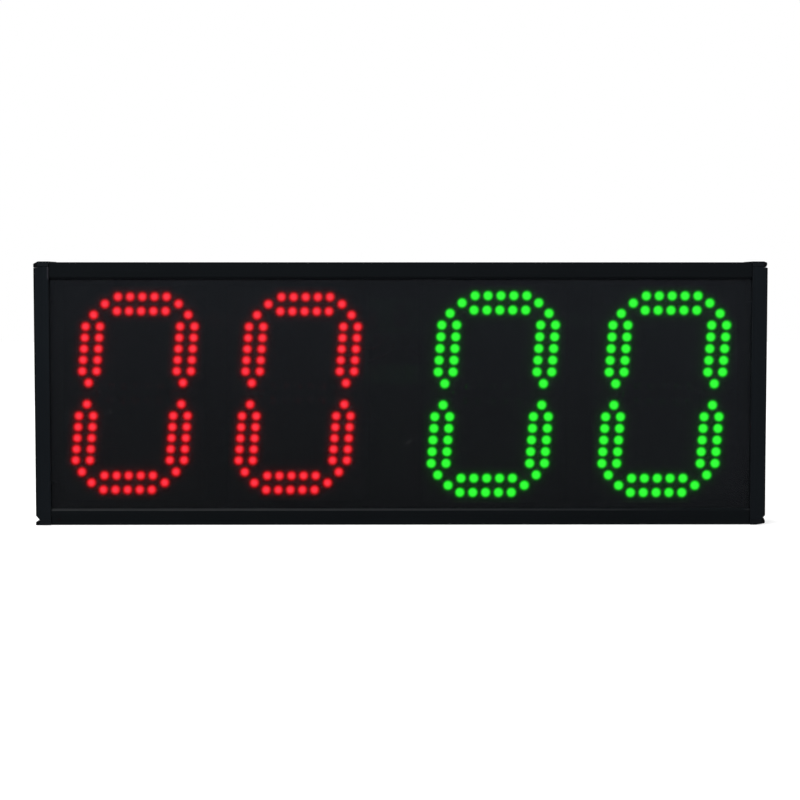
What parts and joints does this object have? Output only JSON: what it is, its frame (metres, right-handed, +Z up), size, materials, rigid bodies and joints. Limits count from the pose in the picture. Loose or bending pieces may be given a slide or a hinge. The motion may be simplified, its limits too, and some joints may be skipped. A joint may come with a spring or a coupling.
{
  "type": "substitution board",
  "caption": "Hand-held LED substitution board: red and green digits behind a dark window in a flat black frame, with push buttons and grip handles on the back.",
  "frame": {"origin": "middle of the underside of the case, on the surface it stands on", "axes": "+X to the right as the display is read, +Y into the depth towards the handles, +Z up; the display faces -Y"},
  "size_m": [0.732, 0.0917, 0.264],
  "materials": {
    "frame_metal": "black anodised, satin",
    "cap_plastic": "fine moulded grain",
    "window": "smoked acrylic, satin",
    "panel_metal": "black powder coat",
    "red_digit_board": "black circuit board with red lamps",
    "green_digit_board": "black circuit board with green lamps",
    "circuit_board": "green solder mask",
    "steel": "zinc plated",
    "nickel": "nickel plated",
    "button_cap": "satin",
    "rocker": "gloss",
    "rubber": "matt",
    "handle_metal": "satin black",
    "cell_sleeve": "shrunk sleeve",
    "lead": "smooth",
    "ribbon": "ribbed flat cable"
  },
  "bodies": {
    "case": {"top_rail": "frame_metal", "bottom_rail": "frame_metal", "left_side_profile": "frame_metal", "right_side_profile": "frame_metal", "top_left_corner_cap": "cap_plastic", "top_right_corner_cap": "cap_plastic", "bottom_left_corner_cap": "cap_plastic", "bottom_right_corner_cap": "cap_plastic", "top_left_corner_screw": "steel", "top_right_corner_screw": "steel", "bottom_left_corner_screw": "steel", "bottom_right_corner_screw": "steel", "front_window": "window", "back_panel": "panel_metal", "panel_screw_1": "steel", "panel_screw_2": "steel", "panel_screw_3": "steel", "panel_screw_4": "steel", "panel_screw_5": "steel", "panel_screw_6": "steel", "digit_board_1": "red_digit_board", "digit_board_2": "red_digit_board", "digit_board_3": "green_digit_board", "digit_board_4": "green_digit_board", "controller_board": "circuit_board", "button_board": "circuit_board", "left_ribbon_cable": "ribbon", "right_ribbon_cable": "ribbon", "digit_button_1_body": "nickel", "digit_button_2_body": "nickel", "digit_button_3_body": "nickel", "digit_button_4_body": "nickel", "digit_button_1_nut": "nickel", "digit_button_2_nut": "nickel", "digit_button_3_nut": "nickel", "digit_button_4_nut": "nickel", "power_switch_body": "cap_plastic", "charge_jack": "cap_plastic", "charge_jack_nut": "nickel", "battery_pack": "cell_sleeve", "battery_tray": "cap_plastic", "left_handle": "handle_metal", "right_handle": "handle_metal", "left_handle_grip": "rubber", "right_handle_grip": "rubber", "left_handle_lower_screw": "steel", "left_handle_upper_screw": "steel", "right_handle_lower_screw": "steel", "right_handle_upper_screw": "steel", "battery_lead": "lead", "jack_lead": "lead", "switch_lead": "lead", "button_lead": "lead"},
    "button_cap_1": {"digit_button_1_cap": "button_cap"},
    "button_cap_2": {"digit_button_2_cap": "button_cap"},
    "button_cap_3": {"digit_button_3_cap": "button_cap"},
    "button_cap_4": {"digit_button_4_cap": "button_cap"},
    "rocker": {"power_rocker": "rocker"},
    "port_cover": {"charge_port_cover": "rubber"}
  },
  "joints": [
    {"name": "digit_button_1_press", "type": "slide", "parent": "case", "child": "button_cap_1", "axis": [0, -1, 0], "range_m": [0, 0.002], "stiffness_N_per_m": 600, "springref_m": -0.002},
    {"name": "digit_button_2_press", "type": "slide", "parent": "case", "child": "button_cap_2", "axis": [0, -1, 0], "range_m": [0, 0.002], "stiffness_N_per_m": 600, "springref_m": -0.002},
    {"name": "digit_button_3_press", "type": "slide", "parent": "case", "child": "button_cap_3", "axis": [0, -1, 0], "range_m": [0, 0.002], "stiffness_N_per_m": 600, "springref_m": -0.002},
    {"name": "digit_button_4_press", "type": "slide", "parent": "case", "child": "button_cap_4", "axis": [0, -1, 0], "range_m": [0, 0.002], "stiffness_N_per_m": 600, "springref_m": -0.002},
    {"name": "power_rocker_tilt", "type": "hinge", "parent": "case", "child": "rocker", "pos_m": [0.03, 0.0223, 0.1], "axis": [-1, 0, 0], "range_deg": [0, 24]},
    {"name": "port_cover_hinge", "type": "hinge", "parent": "case", "child": "port_cover", "pos_m": [-0.03, 0.027, 0.1098], "axis": [1, 0, 0], "range_deg": [0, 110]}
  ]
}
